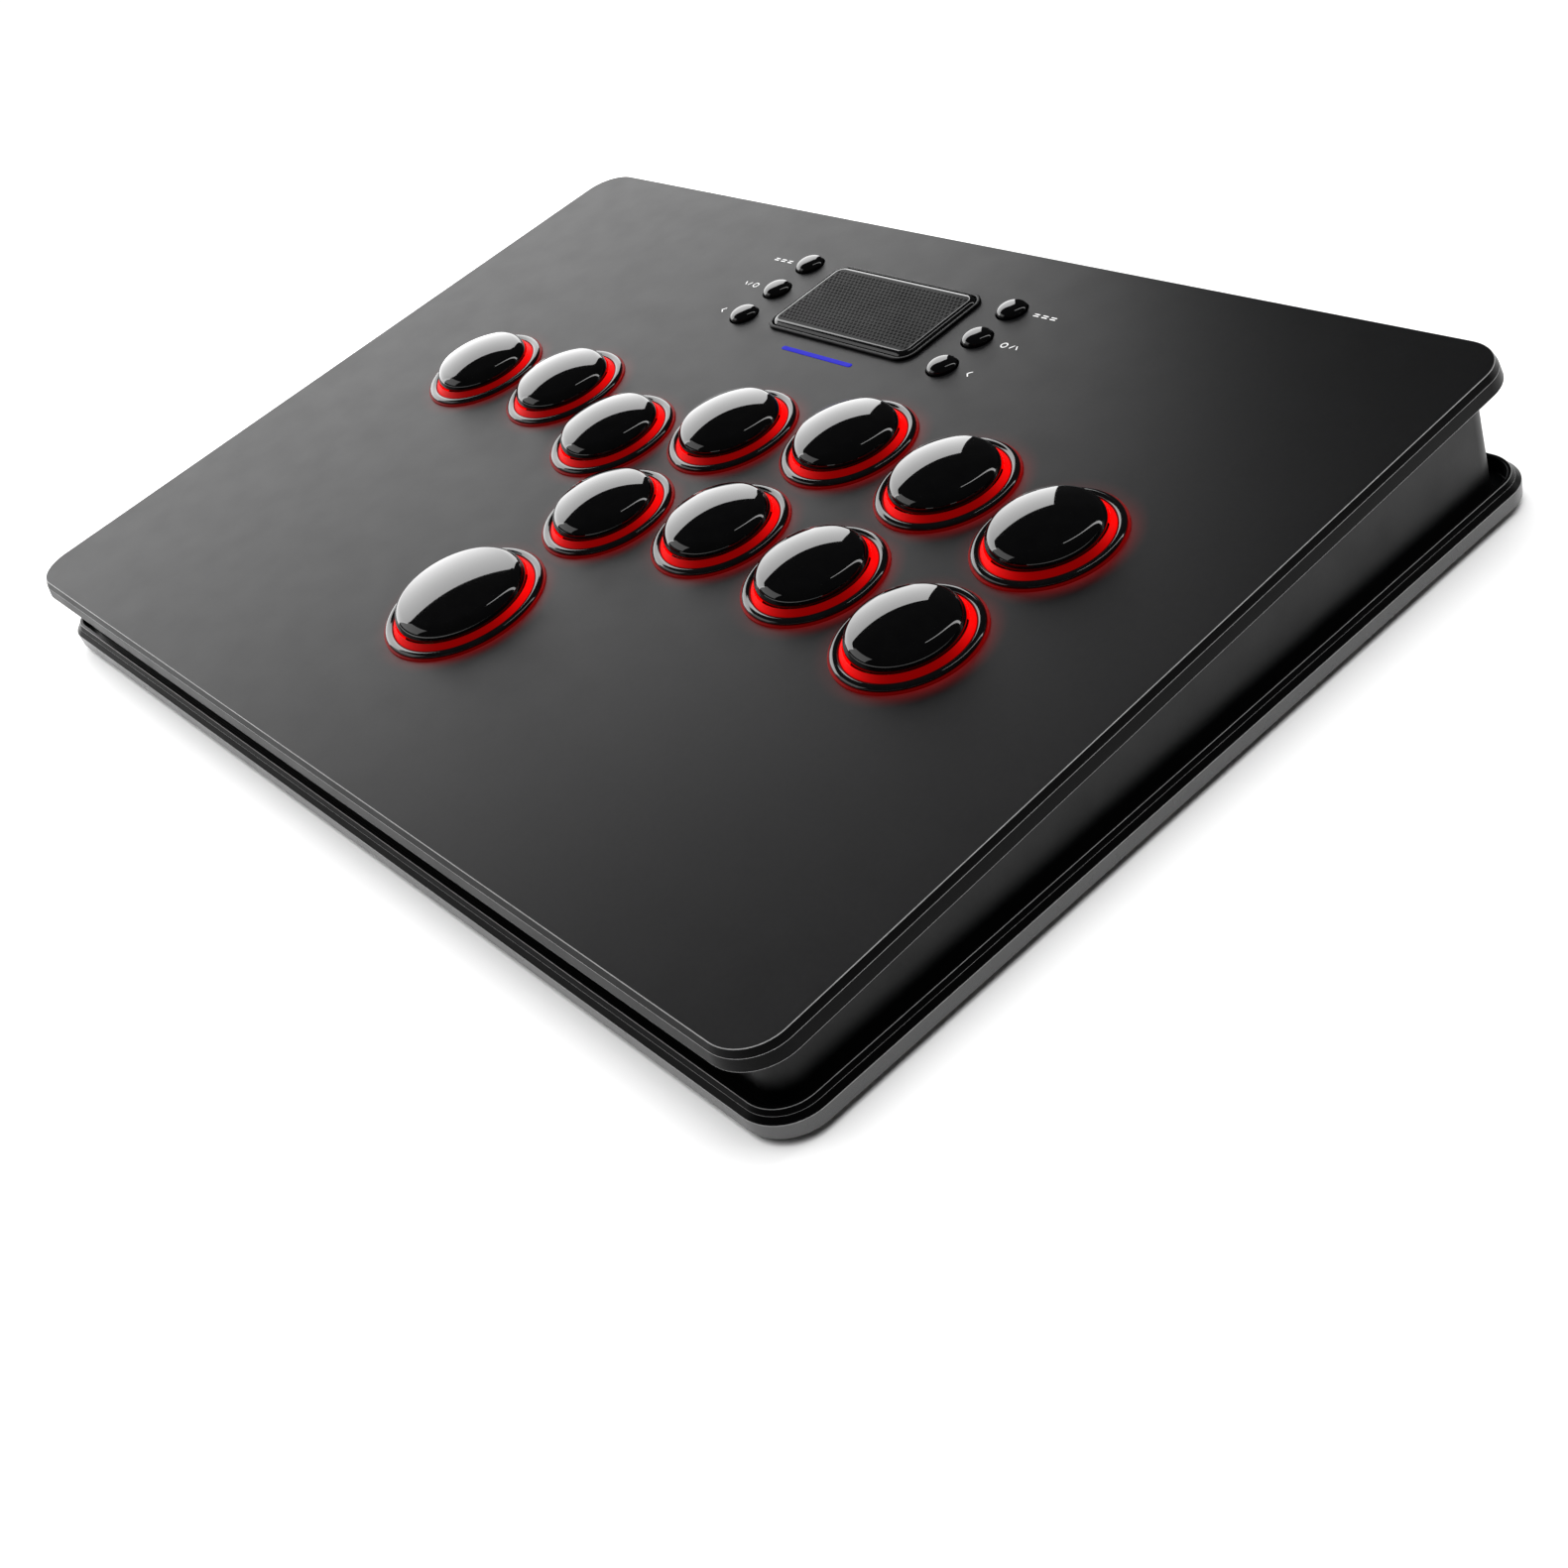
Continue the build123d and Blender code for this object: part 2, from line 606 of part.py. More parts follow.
finish(main_board, "main_board")

with BuildPart() as board_screws:
    with BuildSketch(on_panel(height=BOARD_BOTTOM)):
        with Locations(board_screw_points()):
            Circle(2.3)
    extrude(amount=-1.4)
    with BuildSketch(on_panel(height=BOARD_BOTTOM)):
        with Locations(board_screw_points()):
            Circle(BOARD_SCREW_RADIUS)
    extrude(amount=BOARD_THICKNESS + 4.5)
    with BuildSketch(on_panel(height=BOARD_BOTTOM - 1.4)):
        with Locations(board_screw_points()):
            Rectangle(2.6, 0.6)
            Rectangle(0.6, 2.6)
    extrude(amount=0.8, mode=Mode.SUBTRACT)
finish(board_screws, "board_screws")

with BuildPart() as tact_switches:
    places = list(OPTION_BUTTONS.values())
    with BuildSketch(on_panel(height=BOARD_TOP)):
        with Locations(*places, PAD_PLACE):
            RectangleRounded(TACT_SIZE, TACT_SIZE, 0.4)
    extrude(amount=TACT_HEIGHT - 0.5)
    with BuildSketch(on_panel(height=BOARD_TOP)):
        with Locations(*places):
            Circle(1.75)
    extrude(amount=TACT_HEIGHT)
    # The touchpad's own switch has a long plunger that reaches up to the sensor board.
    with BuildSketch(on_panel(*PAD_PLACE, BOARD_TOP)):
        Circle(1.75)
    extrude(amount=PAD_UNDER - PAD_BOARD - TOUCHPAD_TRAVEL - CLEARANCE - BOARD_TOP)
finish(tact_switches, "tact_switches")

LED_SIZE = (3.2, 2.6, 1.4)
CHIP_PLACE = (-50.0, 60.0)

with BuildPart() as board_components:
    # Red lamps under the collars and a blue one under the status bar, on the upper side.
    with BuildSketch(on_panel(height=BOARD_TOP)):
        for place in ALL_BUTTONS.values():
            with Locations((place[0], place[1] + SWITCH_SIZE / 2 + 3.0)):
                Rectangle(LED_SIZE[0], LED_SIZE[1])
        with Locations((0, LIGHT_Y)):
            Rectangle(LED_SIZE[0], LED_SIZE[1])
    extrude(amount=LED_SIZE[2])
    # Controller chip, memory and two regulators on the underside.
    with BuildSketch(on_panel(*CHIP_PLACE, BOARD_BOTTOM)):
        RectangleRounded(12, 12, 0.5)
        with Locations((16, 3)):
            RectangleRounded(6, 5, 0.3)
        with Locations((-16, -4), (-16, 5)):
            RectangleRounded(6.5, 3.5, 0.3)
    extrude(amount=-1.2)
finish(board_components, "board_components")

with BuildPart() as usb_socket:
    mouth = PANEL_DEPTH / 2 - WALL_INSET
    with BuildSketch(upright().offset(-mouth)):
        with Locations((USB_X, USB_DROP)):
            RectangleRounded(USB_WIDTH, USB_HEIGHT, 1.5)
    extrude(amount=USB_LENGTH)
    with BuildSketch(upright().offset(-mouth)):
        with Locations((USB_X, USB_DROP)):
            RectangleRounded(USB_WIDTH - 0.6, USB_HEIGHT - 0.6, 1.2)
    extrude(amount=6.2, mode=Mode.SUBTRACT)
    # Contact tongue in the middle of the socket.
    with BuildSketch(upright().offset(-mouth + 6.2)):
        with Locations((USB_X, USB_DROP)):
            RectangleRounded(6.7, 0.7, 0.3)
    extrude(amount=-5.5)
finish(usb_socket, "usb_socket")
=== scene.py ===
import bmesh
import bpy
import json
import math
from mathutils import Matrix, Vector
from mathutils.geometry import intersect_line_plane


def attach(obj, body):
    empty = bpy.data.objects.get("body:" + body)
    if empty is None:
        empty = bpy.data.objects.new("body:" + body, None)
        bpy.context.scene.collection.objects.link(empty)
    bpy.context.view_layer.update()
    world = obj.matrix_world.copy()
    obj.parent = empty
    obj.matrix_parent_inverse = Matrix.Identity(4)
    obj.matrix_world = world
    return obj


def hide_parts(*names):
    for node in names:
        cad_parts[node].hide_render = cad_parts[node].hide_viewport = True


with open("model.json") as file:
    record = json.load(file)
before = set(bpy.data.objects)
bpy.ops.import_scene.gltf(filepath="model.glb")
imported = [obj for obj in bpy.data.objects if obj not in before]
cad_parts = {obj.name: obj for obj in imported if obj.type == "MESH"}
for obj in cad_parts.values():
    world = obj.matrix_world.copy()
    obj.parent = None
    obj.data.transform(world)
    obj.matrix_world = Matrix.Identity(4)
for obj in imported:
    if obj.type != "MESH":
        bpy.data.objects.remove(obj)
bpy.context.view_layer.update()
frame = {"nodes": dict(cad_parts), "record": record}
MM = 0.001

# The panel's own frame, in millimetres: x right, y up the slope, z out of its face.
SLOPE = math.radians(3.165)
PANEL = (Matrix.Translation(Vector((0, -1.4, 28.75)) * MM) @ Matrix.Rotation(SLOPE, 4, "X")
         @ Matrix.Scale(MM, 4))
WORLD_MM = Matrix.Scale(MM, 4)

# Sizes in millimetres, width by depth for the rounded rectangles.
PLATE_SIZE = (305, 206.4)
PLATE_UNDERSIDE = -2.2
WALL_TOP = (297.2, 198.6)
WALL_FOOT = 3.8
BASE_SIZE = (308, 210.2)
BASE_CENTRE = (0, 0.4)
BASE_UNDERSIDE = 2.0
PAD_SIZE = (50.2, 26.0)
PAD_TOP = 1.3
FRAME_SIZE = (50.8, 26.6)
FRAME_CORNER = 3.5
OPTION_RADIUS = 3.6
MARK_HEIGHT = 0.04

BUTTONS = {
    "left": (-94.9, 13.8),
    "down": (-60.8, 16.8),
    "right": (-27.8, 7.5),
    "upper_1": (3.9, 20.6),
    "upper_2": (37.2, 27.8),
    "upper_3": (71.3, 25.3),
    "upper_4": (105.1, 20.1),
    "lower_1": (-1.2, -14.3),
    "lower_2": (32.4, -7.2),
    "lower_3": (66.5, -9.3),
    "lower_4": (100.2, -14.8),
    "jump": (-8.0, -52.0),
}
OPTION_ROWS = (82.3, 70.5, 58.8)
OPTIONS = {f"{side}_{row}": (sign * 36.3, y)
           for side, sign in (("left", -1), ("right", 1))
           for row, y in enumerate(OPTION_ROWS, start=1)}
PAD_CENTRE = (0, 70.7)
LIGHT_CENTRE = (0, 51.5)


def cap_radius(name):
    return 15.55 if name == "jump" else 12.2


def hole_radius(name):
    """The hole in the plate, where the bezel and the gasket start too."""
    return cap_radius(name) + 1.4


# ------------------------------------------------------------------ materials
def new_material(name):
    mat = bpy.data.materials.new(name)
    mat.use_nodes = True
    tree = mat.node_tree
    return mat, tree, tree.nodes["Principled BSDF"]


def node(tree, kind, inputs=None, **settings):
    made = tree.nodes.new(kind)
    for key, value in settings.items():
        setattr(made, key, value)
    for key, value in (inputs or {}).items():
        made.inputs[key].default_value = value
    return made


def finish_material(name, dark, light, rough, grain=900.0, bump=0.0, bump_scale=3000.0, depth=0.00004,
                    metallic=0.0, coat=0.0, ior=1.5, coat_rough=0.03, specular=0.5):
    """Procedural surface: blotchy colour and roughness with a fine bump on top.

    dark and light are the two ends of the colour, rough the two ends of the roughness.
    grain is the number of blotches in a metre and bump_scale the number of bumps."""
    mat, tree, bsdf = new_material(name)
    link = tree.links.new
    where = node(tree, "ShaderNodeTexCoord")
    blotch = node(tree, "ShaderNodeTexNoise", {"Scale": grain, "Detail": 5.0, "Roughness": 0.6})
    link(where.outputs["Object"], blotch.inputs["Vector"])
    colour = node(tree, "ShaderNodeValToRGB")
    colour.color_ramp.elements[0].position = 0.3
    colour.color_ramp.elements[1].position = 0.7
    colour.color_ramp.elements[0].color = (*dark, 1)
    colour.color_ramp.elements[1].color = (*light, 1)
    link(blotch.outputs["Fac"], colour.inputs["Fac"])
    link(colour.outputs["Color"], bsdf.inputs["Base Color"])
    wide = node(tree, "ShaderNodeTexNoise", {"Scale": grain * 0.13, "Detail": 3.0})
    link(where.outputs["Object"], wide.inputs["Vector"])
    spread = node(tree, "ShaderNodeMapRange",
                  {"From Min": 0.3, "From Max": 0.7, "To Min": rough[0], "To Max": rough[1]})
    link(wide.outputs["Fac"], spread.inputs["Value"])
    link(spread.outputs["Result"], bsdf.inputs["Roughness"])
    if bump:
        fine = node(tree, "ShaderNodeTexNoise", {"Scale": bump_scale, "Detail": 2.0})
        link(where.outputs["Object"], fine.inputs["Vector"])
        raise_it = node(tree, "ShaderNodeBump", {"Strength": bump, "Distance": depth})
        link(fine.outputs["Fac"], raise_it.inputs["Height"])
        link(raise_it.outputs["Normal"], bsdf.inputs["Normal"])
    bsdf.inputs["Metallic"].default_value = metallic
    bsdf.inputs["Coat Weight"].default_value = coat
    bsdf.inputs["Coat Roughness"].default_value = coat_rough
    bsdf.inputs["IOR"].default_value = ior
    bsdf.inputs["Specular IOR Level"].default_value = specular
    return mat


def glow_material(name, base, glow, strength, low=0.35):
    """Light-diffusing plastic lit from behind, with brighter and dimmer stretches."""
    mat = finish_material(name, base, base, (0.5, 0.6), grain=500, bump=0.1, specular=0.1)
    tree = mat.node_tree
    bsdf = tree.nodes["Principled BSDF"]
    share = node(tree, "ShaderNodeAttribute", attribute_name="lamp")
    dim = node(tree, "ShaderNodeMix", data_type="RGBA")
    dim.inputs["A"].default_value = (glow[0] * low, glow[1] * low, glow[2] * low, 1)
    dim.inputs["B"].default_value = (*glow, 1)
    tree.links.new(share.outputs["Fac"], dim.inputs["Factor"])
    tree.links.new(dim.outputs["Result"], bsdf.inputs["Emission Color"])
    bsdf.inputs["Emission Strength"].default_value = strength
    return mat


def add_spill(mat, strength=0.17, width=4.5):
    """Red light that leaks from under each bezel over the panel, strongest at the front right.

    It is drawn in the material as emission; no lamp casts it. width is in millimetres."""
    tree = mat.node_tree
    link = tree.links.new
    where = node(tree, "ShaderNodeTexCoord")
    towards = PANEL.to_3x3() @ Vector((0.95, -0.3, 0)).normalized() / MM
    total = None
    for name, place in BUTTONS.items():
        centre = PANEL @ Vector((*place, 0))
        edge = (cap_radius(name) + 3.6) * MM
        away = node(tree, "ShaderNodeVectorMath", operation="SUBTRACT")
        away.inputs[1].default_value = centre
        link(where.outputs["Object"], away.inputs[0])
        reach = node(tree, "ShaderNodeVectorMath", operation="LENGTH")
        link(away.outputs["Vector"], reach.inputs[0])
        fall = node(tree, "ShaderNodeMapRange",
                    {"From Min": edge, "From Max": edge + width * MM, "To Min": 1.0, "To Max": 0.0})
        link(reach.outputs["Value"], fall.inputs["Value"])
        soft = node(tree, "ShaderNodeMath", operation="POWER")
        soft.inputs[1].default_value = 2.0
        link(fall.outputs["Result"], soft.inputs[0])
        unit = node(tree, "ShaderNodeVectorMath", operation="NORMALIZE")
        link(away.outputs["Vector"], unit.inputs[0])
        side = node(tree, "ShaderNodeVectorMath", operation="DOT_PRODUCT")
        side.inputs[1].default_value = towards
        link(unit.outputs["Vector"], side.inputs[0])
        share = node(tree, "ShaderNodeMapRange",
                     {"From Min": 0.0, "From Max": 1.0, "To Min": 0.2, "To Max": 1.0})
        link(side.outputs["Value"], share.inputs["Value"])
        part = node(tree, "ShaderNodeMath", operation="MULTIPLY")
        link(soft.outputs["Value"], part.inputs[0])
        link(share.outputs["Result"], part.inputs[1])
        if total:
            larger = node(tree, "ShaderNodeMath", operation="MAXIMUM")
            link(total.outputs["Value"], larger.inputs[0])
            link(part.outputs["Value"], larger.inputs[1])
            total = larger
        else:
            total = part
    level = node(tree, "ShaderNodeMath", operation="MULTIPLY")
    level.inputs[1].default_value = strength
    link(total.outputs["Value"], level.inputs[0])
    bsdf = tree.nodes["Principled BSDF"]
    bsdf.inputs["Emission Color"].default_value = (1, 0.01, 0.015, 1)
    link(level.outputs["Value"], bsdf.inputs["Emission Strength"])


panel_black = finish_material("panel_black", (0.0035, 0.0035, 0.0037), (0.005, 0.005, 0.0053), (0.38, 0.42),
                              bump=0.15, bump_scale=3500, depth=0.00002, specular=0.14)
add_spill(panel_black)
# Lighter grey laid on the rolled edges of the plate and base: painted highlight for the thin bright lines
# along them.
painted_edge_highlight = finish_material("painted_edge_highlight", (0.17, 0.17, 0.17), (0.25, 0.25, 0.25), (0.28, 0.36), bump=0.1)
# A dimmer painted highlight for the inner rolled edge of the touchpad frame.
painted_dim_edge_highlight = finish_material("painted_dim_edge_highlight", (0.05, 0.05, 0.05), (0.08, 0.08, 0.08), (0.28, 0.36),
                           bump=0.1, specular=0.2)
# A darker copy of the panel black, laid on the bevels, the flange faces, the base's upper faces and the
# touchpad frame: painted shade.
painted_shade_black = finish_material("painted_shade_black", (0.0008, 0.0008, 0.0009), (0.0015, 0.0015, 0.0016), (0.3, 0.36),
                              bump=0.08, bump_scale=3500, depth=0.00002, specular=0.08)
wall_black = finish_material("wall_black", (0.003, 0.003, 0.0032), (0.005, 0.005, 0.0053), (0.38, 0.46),
                             bump=0.2, bump_scale=2500, specular=0.25)
base_black = finish_material("base_black", (0.016, 0.016, 0.0165), (0.022, 0.022, 0.0225), (0.24, 0.3),
                             bump=0.15, bump_scale=3500, depth=0.00002, specular=1.0)
gloss_black = finish_material("gloss_black", (0.001, 0.001, 0.0011), (0.002, 0.002, 0.0022), (0.05, 0.08),
                              grain=300, bump=0.02, bump_scale=400, depth=0.00002, ior=1.6)
cap_gloss = finish_material("cap_gloss", (0.0005, 0.0005, 0.0006), (0.001, 0.001, 0.0011), (0.03, 0.05),
                            grain=300, bump=0.02, bump_scale=300, depth=0.00001, ior=1.6)
pad_black = finish_material("pad_black", (0.0015, 0.0015, 0.0016), (0.003, 0.003, 0.0031), (0.36, 0.42),
                            bump=0.12, bump_scale=3000, depth=0.00002, specular=0.045)
# Darker, rougher material for the touchpad's dots: painted shade standing in for the shade inside dimples.
dimple_painted_shade = finish_material("dimple_painted_shade", (0.0008, 0.0008, 0.0009), (0.002, 0.002, 0.0021), (0.6, 0.7),
                               bump=0.1, specular=0.05)
foot_rubber = finish_material("foot_rubber", (0.014, 0.014, 0.014), (0.03, 0.03, 0.029), (0.75, 0.9),
                              bump=0.5, bump_scale=1800, depth=0.00008)
screw_steel = finish_material("screw_steel", (0.03, 0.03, 0.032), (0.07, 0.07, 0.072), (0.3, 0.45),
                              grain=1500, bump=0.2, metallic=1.0)
socket_steel = finish_material("socket_steel", (0.45, 0.45, 0.46), (0.62, 0.62, 0.63), (0.22, 0.38),
                               grain=1200, bump=0.15, metallic=1.0)
spring_steel = finish_material("spring_steel", (0.5, 0.5, 0.5), (0.7, 0.7, 0.7), (0.2, 0.35),
                               grain=2000, metallic=1.0)
board_green = finish_material("board_green", (0.004, 0.06, 0.025), (0.008, 0.1, 0.04), (0.25, 0.4),
                              grain=700, bump=0.2, coat=0.3)
chip_black = finish_material("chip_black", (0.015, 0.015, 0.015), (0.03, 0.03, 0.03), (0.5, 0.65), bump=0.3)
switch_dark = finish_material("switch_dark", (0.03, 0.03, 0.033), (0.05, 0.05, 0.055), (0.4, 0.55), bump=0.2)
stem_red = finish_material("stem_red", (0.35, 0.01, 0.01), (0.5, 0.02, 0.02), (0.35, 0.5), bump=0.2)
mark_white = finish_material("mark_white", (0.62, 0.62, 0.62), (0.8, 0.8, 0.8), (0.5, 0.6),
                             grain=2500, bump=0.2)
red_glow = glow_material("red_glow", (0.01, 0.0, 0.0), (1.0, 0.0, 0.0), 1.0, low=0.2)
red_gasket = glow_material("red_gasket", (0.01, 0.0, 0.0), (1.0, 0.0, 0.0), 0.2, low=0.4)
blue_glow = glow_material("blue_glow", (0.0, 0.0, 0.01), (0.006, 0.004, 1.0), 0.62, low=0.9)
SLOTS = {
    "panel_black": panel_black, "wall_black": wall_black, "base_black": base_black,
    "foot_rubber": foot_rubber, "screw_steel": screw_steel, "gloss_black": gloss_black,
    "cap_gloss": cap_gloss, "red_glow": red_glow,
    "red_gasket": red_gasket, "blue_glow": blue_glow, "pad_black": pad_black, "board_green": board_green,
    "chip_black": chip_black, "switch_dark": switch_dark, "stem_red": stem_red, "spring_steel": spring_steel,
    "socket_steel": socket_steel,
}


# ------------------------------------------------------------------ mesh helpers
def rounded(points, steps=5):
    """Polyline with its corners rolled over. Each point is (a, b) or (a, b, radius)."""
    out = []
    for i, point in enumerate(points):
        here = Vector(point[:2])
        radius = point[2] if len(point) > 2 else 0.0
        if radius <= 0.0 or i in (0, len(points) - 1):
            out.append(here)
            continue
        back = (Vector(points[i - 1][:2]) - here).normalized()
        ahead = (Vector(points[i + 1][:2]) - here).normalized()
        half = back.angle(ahead) / 2
        reach = radius / math.tan(half)
        start, end = here + back * reach, here + ahead * reach
        centre = here + (back + ahead).normalized() * radius / math.sin(half)
        sweep = (start - centre).angle_signed(end - centre)
        for k in range(steps + 1):
            turn = Matrix.Rotation(-sweep * k / steps, 2)
            out.append(centre + turn @ (start - centre))
    return out


def lathe(bm, profile, place, turns=96, lamp=None):
    """Turns a profile of (radius, height) about the panel's normal at a place on the panel."""
    if lamp and not bm.verts.layers.float.get("lamp"):
        bm.verts.layers.float.new("lamp")
    rings = []
    for radius, height in profile:
        if radius < 1e-6:
            rings.append([bm.verts.new((place[0], place[1], height))])
            continue
        rings.append([bm.verts.new((place[0] + radius * math.cos(a), place[1] + radius * math.sin(a), height))
                      for a in (2 * math.pi * k / turns for k in range(turns))])
    for one, two in zip(rings, rings[1:]):
        for k in range(turns):
            n = (k + 1) % turns
            if len(one) == 1 and len(two) == 1:
                break
            if len(one) == 1:
                bm.faces.new((one[0], two[k], two[n]))
            elif len(two) == 1:
                bm.faces.new((one[k], two[0], one[n]))
            else:
                bm.faces.new((one[k], two[k], two[n], one[n]))
    if lamp:
        layer = bm.verts.layers.float.get("lamp")
        for ring in rings:
            for v in ring:
                v[layer] = lamp(v.co.x - place[0], v.co.y - place[1])


def outline(width, depth, radius, centre=(0, 0), steps=14):
    """Points round a rectangle with round corners, anticlockwise."""
    points = []
    for cx, cy, start in ((1, 1, 0), (-1, 1, 90), (-1, -1, 180), (1, -1, 270)):
        for k in range(steps + 1):
            a = math.radians(start + 90 * k / steps)
            points.append(Vector((centre[0] + cx * (width / 2 - radius) + radius * math.cos(a),
                                  centre[1] + cy * (depth / 2 - radius) + radius * math.sin(a))))
    return points


def ring_of(bm, points, height):
    return [bm.verts.new((p[0], p[1], height)) for p in points]


def ring_stack(bm, profile, size, corner, centre=(0, 0), least=0.0, grow=1):
    """A rounded rectangle at each (offset, height) of a profile; with grow -1 the offset goes inwards."""
    return [ring_of(bm, outline(size[0] + 2 * grow * p.x, size[1] + 2 * grow * p.x,
                                max(least, corner + grow * p.x), centre), p.y)
            for p in profile]


def bridge(bm, one, two, slot=0):
    count = len(one)
    for k in range(count):
        n = (k + 1) % count
        bm.faces.new((one[k], one[n], two[n], two[k])).material_index = slot


def fill(bm, loops, up=True):
    """Flat face between closed loops of corners: the first is the outside, the rest are holes."""
    edges = []
    for loop in loops:
        for a, b in zip(loop, loop[1:] + loop[:1]):
            edges.append(bm.edges.get((a, b)) or bm.edges.new((a, b)))
    made = bmesh.ops.triangle_fill(bm, use_beauty=True, use_dissolve=False, edges=edges)
    faces = [g for g in made["geom"] if isinstance(g, bmesh.types.BMFace)]
    for f in faces:
        f.normal_update()
        if (f.normal.z > 0) != up:
            f.normal_flip()


def piece(name, bm, mat, body="case", replaces=(), matrix=PANEL, sharp=32, more=(),
          turn_out=True):
    """Finishes a mesh drawn in millimetres as a piece that rides on a body.

    more holds the materials after the first, and turn_out faces every side outwards."""
    if turn_out:
        bmesh.ops.recalc_face_normals(bm, faces=bm.faces)
    bm.transform(matrix)
    mesh = bpy.data.meshes.new(name)
    bm.to_mesh(mesh)
    bm.free()
    for each in (mat, *more):
        mesh.materials.append(each)
    mesh.shade_smooth()
    mesh.set_sharp_from_angle(angle=math.radians(sharp))
    obj = bpy.data.objects.new(name, mesh)
    bpy.context.scene.collection.objects.link(obj)
    obj.modifiers.new("even_normals", "WEIGHTED_NORMAL").keep_sharp = True
    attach(obj, body)
    if replaces:
        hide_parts(*replaces)
    return obj


# ------------------------------------------------------------------ top plate
def circle(place, radius, count=64):
    return [Vector((place[0] + radius * math.cos(2 * math.pi * k / count),
                    place[1] + radius * math.sin(2 * math.pi * k / count))) for k in range(count)]


def slot_outline(length, width, centre, steps=10):
    return outline(length, width, width / 2 - 0.001, centre, steps)


def make_top_plate():
    bm = bmesh.new()
    profile = rounded([(-2.0, 0), (0, 0, 0.18), (0.7, -1.6, 0.5), (1.25, -4.4, 0.18), (-3.9, -4.4)])
    rings = ring_stack(bm, profile, PLATE_SIZE, 9.4, least=6.0)
    # Rolled corners get a lighter painted edge highlight, and the flats between them a darker copy of the
    # panel black, which is painted shade.
    edges = (*range(1, 6), *range(7, 12), *range(13, 18))
    for k, (one, two) in enumerate(zip(rings, rings[1:])):
        bridge(bm, two, one, 1 if k in edges else 2 if k in (6, 12, 18) else 0)
    loops = [rings[0]]
    holes = [circle(place, hole_radius(name)) for name, place in BUTTONS.items()]
    holes.append(slot_outline(25.44, 1.34, LIGHT_CENTRE))
    for hole in holes:
        top = ring_of(bm, hole, 0)
        low = ring_of(bm, hole, PLATE_UNDERSIDE)
        bridge(bm, top, low)
        loops.append(top)
    lips = [(circle(place, 4.0), circle(place, 3.9)) for place in OPTIONS.values()]
    lips.append((outline(51.0, 26.8, 3.6, PAD_CENTRE), outline(*FRAME_SIZE, FRAME_CORNER, PAD_CENTRE)))
    for wide, tight in lips:
        top = ring_of(bm, wide, 0)
        lip = ring_of(bm, tight, -0.15)
        low = ring_of(bm, tight, PLATE_UNDERSIDE)
        bridge(bm, top, lip)
        bridge(bm, lip, low)
        loops.append(top)
    fill(bm, loops)
    # fill() has turned the flat face already, so its faces stay as they are.
    piece("panel", bm, panel_black, replaces=["top_plate"],
          more=(painted_edge_highlight, painted_shade_black), turn_out=False)


make_top_plate()


# ------------------------------------------------------------------ housing wall
def make_wall():
    bm = bmesh.new()
    foot_z = WALL_FOOT * MM
    flare = 0.49  # how far each side has moved out at the lower end of its line
    top, foot, mid = [], [], []
    for p in outline(*WALL_TOP, 6.0):
        start = PANEL @ Vector((p.x, p.y, -4.35))
        end = PANEL @ Vector((p.x * (1 + flare / 148.6), p.y * (1 + flare / 99.3), -44.4))
        hit = intersect_line_plane(start, end, Vector((0, 0, foot_z)), Vector((0, 0, 1)))
        top.append(bm.verts.new(start))
        mid.append(bm.verts.new(start.lerp(hit, 0.97)))
        foot.append(bm.verts.new(hit + (hit - Vector((0, 0, foot_z))).normalized() * 0.0003))
    count = len(top)
    back = count // 4 - 1
    for k in range(count):
        n = (k + 1) % count
        if k != back:
            bm.faces.new((mid[k], mid[n], top[n], top[k]))
        bm.faces.new((foot[k], foot[n], mid[n], mid[k]))
    # The back side has a window for the cable socket.
    corners = [mid[back], mid[back + 1], top[back + 1], top[back]]
    flat = (corners[1].co - corners[0].co).cross(corners[2].co - corners[0].co).normalized()
    if flat.y < 0:
        flat.negate()
    window = outline(9.24, 3.56, 1.6, (20.0, -12.23), 8)
    inward = PANEL.to_3x3() @ Vector((0, 1, 0))
    outer, inner = [], []
    for p in window:
        start = PANEL @ Vector((p.x, 0, p.y))
        hit = intersect_line_plane(start, start + inward, corners[0].co, flat)
        outer.append(bm.verts.new(hit))
        inner.append(bm.verts.new(hit - inward * 2.6))
    for a, b, c, d in zip(outer, outer[1:] + outer[:1], inner[1:] + inner[:1], inner):
        bm.faces.new((a, b, c, d))
    edges = []
    for loop in (corners, outer):
        for a, b in zip(loop, loop[1:] + loop[:1]):
            edges.append(bm.edges.get((a, b)) or bm.edges.new((a, b)))
    bmesh.ops.triangle_fill(bm, use_beauty=True, use_dissolve=False, edges=edges)
    piece("wall", bm, wall_black, replaces=["housing"], matrix=Matrix.Identity(4))


make_wall()

# ------------------------------------------------------------------ base tray with its screw holes, and feet
BOSS_X = 152.5 - 3.9 - 2.6 - 4.2 + 1.0
SCREWS = [(x, y) for x in (-BOSS_X, -BOSS_X / 3, BOSS_X / 3, BOSS_X) for y in (-90.0, 90.0)]
FEET = [(x, y + 0.4) for x in (-128, 128) for y in (-80, 80)]


